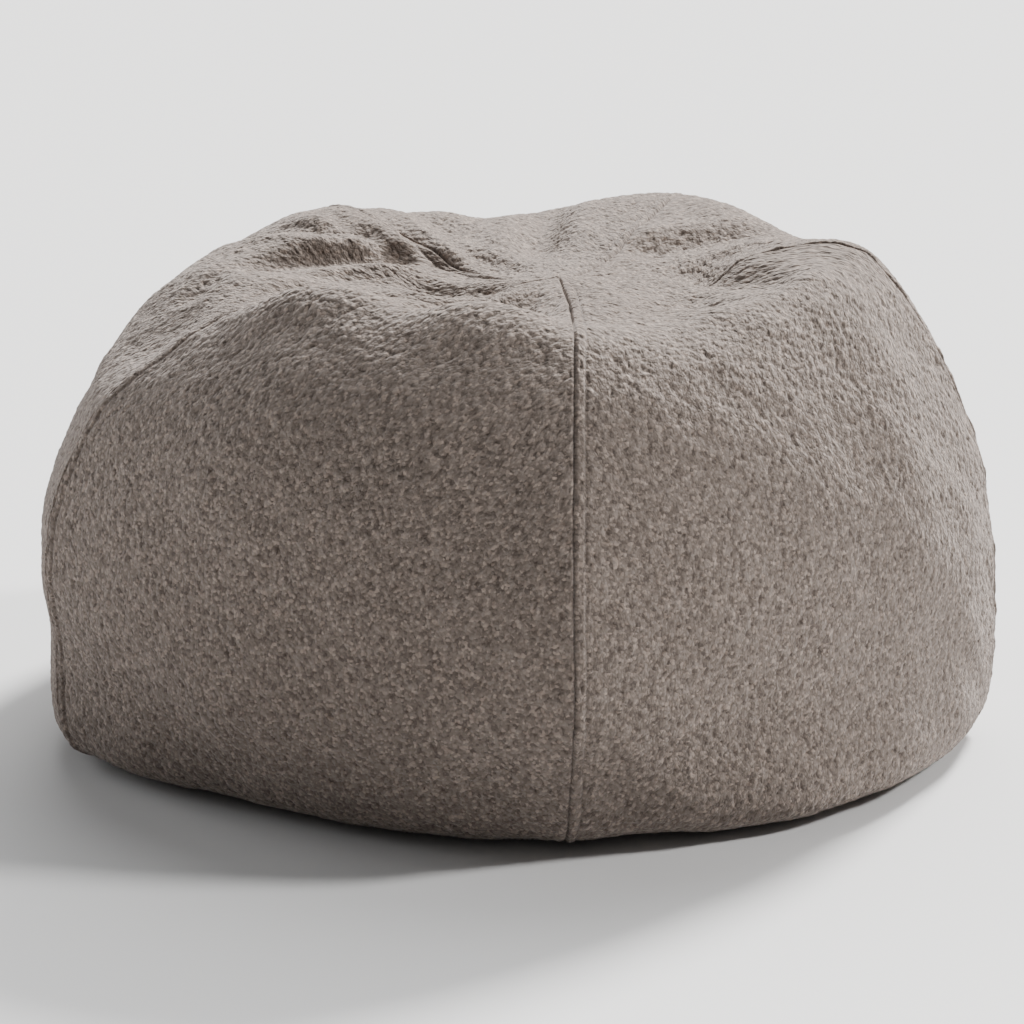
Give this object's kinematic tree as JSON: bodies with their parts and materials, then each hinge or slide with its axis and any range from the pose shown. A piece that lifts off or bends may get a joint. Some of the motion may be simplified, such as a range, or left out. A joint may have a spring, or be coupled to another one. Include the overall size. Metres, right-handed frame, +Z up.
{
  "type": "bean bag chair",
  "caption": "Large five-gore bean bag chair: woven cover, base zip with slider and pull, inner liner bag and bead fill.",
  "frame": {"origin": "middle of the bag's outline, on the floor under the base", "axes": "+Z up; -Y the front, where the seam between the two front gores runs down; +X the right side as seen from the front, and the end where the base zip is shut"},
  "size_m": [1.0371, 1.039, 0.5423],
  "materials": {
    "cover_cloth": "matte",
    "base_cloth": "matte",
    "thread": "satin",
    "label_tape": "satin",
    "zip_tape": "matte",
    "zip_coil": "satin",
    "zip_metal": "polished",
    "liner_cloth": "matte",
    "liner_zip": "satin",
    "beads": "matte"
  },
  "bodies": {
    "bag": {"cover_gore_front_right": "cover_cloth", "cover_gore_back_right": "cover_cloth", "cover_gore_back": "cover_cloth", "cover_gore_back_left": "cover_cloth", "cover_gore_front_left": "cover_cloth", "cover_base_front": "base_cloth", "cover_base_back": "base_cloth", "gore_topstitch": "thread", "base_seam_stitch": "thread", "care_label": "label_tape", "zip_tape_front": "zip_tape", "zip_tape_back": "zip_tape", "zip_coil_front": "zip_coil", "zip_coil_back": "zip_coil", "zip_top_stops": "zip_metal", "zip_bottom_stop": "zip_metal", "liner_gore_front_right": "liner_cloth", "liner_gore_back_right": "liner_cloth", "liner_gore_back": "liner_cloth", "liner_gore_back_left": "liner_cloth", "liner_gore_front_left": "liner_cloth", "liner_base": "liner_cloth", "liner_label": "label_tape", "liner_zip_tape_front": "liner_cloth", "liner_zip_tape_back": "liner_cloth", "liner_zip_coil_front": "liner_zip", "liner_zip_coil_back": "liner_zip", "liner_zip_stops": "zip_metal", "bead_fill": "beads"},
    "cover_slider": {"zip_slider": "zip_metal"},
    "cover_pull": {"zip_pull": "zip_metal"},
    "liner_slider": {"liner_zip_slider": "zip_metal"}
  },
  "joints": [
    {"name": "cover_zip_slide", "type": "slide", "parent": "bag", "child": "cover_slider", "axis": [-1, 0, 0], "range_m": [0, 0.622]},
    {"name": "zip_pull_hinge", "type": "hinge", "parent": "cover_slider", "child": "cover_pull", "pos_m": [0.312, 0, 0.00515], "axis": [0, -1, 0], "range_deg": [0, 170]},
    {"name": "liner_zip_slide", "type": "slide", "parent": "bag", "child": "liner_slider", "axis": [-1, 0, 0], "range_m": [0, 0.302]}
  ]
}
